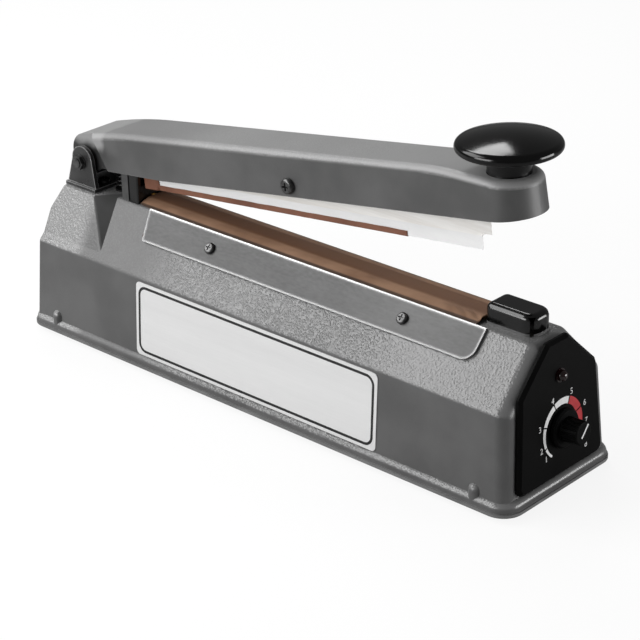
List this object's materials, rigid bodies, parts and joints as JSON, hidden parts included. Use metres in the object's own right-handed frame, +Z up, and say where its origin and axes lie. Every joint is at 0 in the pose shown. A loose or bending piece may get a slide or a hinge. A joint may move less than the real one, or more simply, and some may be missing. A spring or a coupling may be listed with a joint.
{
  "type": "impulse heat sealer",
  "caption": "Hand impulse bag sealer: house-shaped cast base with a heated ridge, a hinged pressing arm with a round knob, and a timer dial on the front end.",
  "frame": {"origin": "on the table under the middle of the base", "axes": "+X from the hinge to the control panel, +Y to the back, +Z up"},
  "size_m": [0.3388, 0.082, 0.1651],
  "materials": {
    "painted_casting": "hammered grey paint",
    "black_moulding": "satin moulded",
    "black_gloss": "polished phenolic",
    "white_plastic": "matt extruded",
    "white_silicone": "soft matt",
    "brown_cloth": "PTFE-coated glass cloth",
    "bright_plate": "brushed",
    "bright_steel": "zinc plated",
    "dark_steel": "blackened",
    "grey_sheet": "painted sheet",
    "laminated_steel": "laminations",
    "copper_winding": "enamelled wire",
    "bronze": "plain",
    "heating_alloy": "nickel-chrome ribbon",
    "bar_laminate": "phenolic laminate",
    "board_green": "circuit board",
    "relay_case": "moulded",
    "red_lens": "clear tinted",
    "clear_glass": "clear",
    "foot_rubber": "moulded"
  },
  "bodies": {
    "base": {"base_casting": "painted_casting", "board_capacitors": "bright_plate", "board_posts": "bright_steel", "board_relay": "relay_case", "bottom_plate": "grey_sheet", "bottom_plate_screws": "bright_steel", "bracket_screws": "bright_steel", "cable_gland": "black_moulding", "control_panel": "black_moulding", "front_clamp_plate": "bright_plate", "front_clamp_plate_screws": "bright_steel", "front_terminal_cap": "black_moulding", "gland_nut": "black_moulding", "heating_bar": "bar_laminate", "heating_element": "heating_alloy", "hinge_bracket": "dark_steel", "hinge_nut": "bright_steel", "hinge_pin": "bright_steel", "hinge_washers": "bright_steel", "indicator_lens": "red_lens", "microswitch_body": "black_moulding", "nameplate": "bright_plate", "neon_bulb": "clear_glass", "potentiometer": "black_moulding", "potentiometer_nut": "bright_steel", "ptfe_cloth": "brown_cloth", "push_rod_bush": "bronze", "rear_clamp_plate": "bright_plate", "rear_clamp_plate_screws": "bright_steel", "rear_terminal_cap": "black_moulding", "return_spring": "bright_steel", "rubber_feet": "foot_rubber", "switch_bracket": "dark_steel", "switch_screws": "bright_steel", "terminal_bases": "white_plastic", "terminal_clamps": "bronze", "terminal_screws": "bronze", "terminal_strip": "black_moulding", "timer_board": "board_green", "transformer_coil": "copper_winding", "transformer_core": "laminated_steel", "transformer_nuts": "bright_steel", "transformer_screws": "bright_steel", "transformer_strap": "dark_steel", "triac_heat_sink": "bright_plate"},
    "arm": {"pressing_arm": "painted_casting", "hinge_bushes": "bronze", "press_knob": "black_gloss", "knob_stud": "bright_steel", "arm_side_screw": "bright_steel", "arm_side_nut": "bright_steel", "rail_spacers": "bright_steel"},
    "seal_bar": {"seal_bar_rail": "white_plastic", "silicone_strip": "white_silicone", "seal_tape": "brown_cloth"},
    "timer_control": {"timer_knob": "black_gloss", "timer_pointer": "white_plastic", "potentiometer_shaft": "bright_steel"},
    "push_rod": {"push_rod": "bright_steel"},
    "switch_lever": {"microswitch_lever": "bright_steel"}
  },
  "joints": [
    {"name": "arm_hinge", "type": "hinge", "parent": "base", "child": "arm", "pos_m": [-0.1365, 0, 0.0915], "axis": [0, 1, 0], "range_deg": [0, 6.9], "stiffness_Nm_per_rad": 4, "springref_deg": -20.05},
    {"name": "seal_bar_rock", "type": "hinge", "parent": "arm", "child": "seal_bar", "pos_m": [0.00998, 0, 0.11547], "axis": [0, 1, 0], "range_deg": [-0.35, 0.35]},
    {"name": "timer_turn", "type": "hinge", "parent": "base", "child": "timer_control", "pos_m": [0.15472, 0.001, 0.03265], "axis": [0.9982, 0, 0.0599], "range_deg": [-89, 175]},
    {"name": "push_rod_slide", "type": "slide", "parent": "base", "child": "push_rod", "axis": [0, 0, -1], "range_m": [0, 0.00211], "deforming": ["return_spring"]},
    {"name": "switch_lever_turn", "type": "hinge", "parent": "base", "child": "switch_lever", "pos_m": [-0.101, -0.004, 0.0529], "axis": [0, -1, 0], "range_deg": [0, 6.69]}
  ],
  "couplings": [
    {"joint": "push_rod_slide", "follows": "arm_hinge", "m_per_rad": 0.0175},
    {"joint": "switch_lever_turn", "follows": "arm_hinge", "ratio": 0.97}
  ]
}
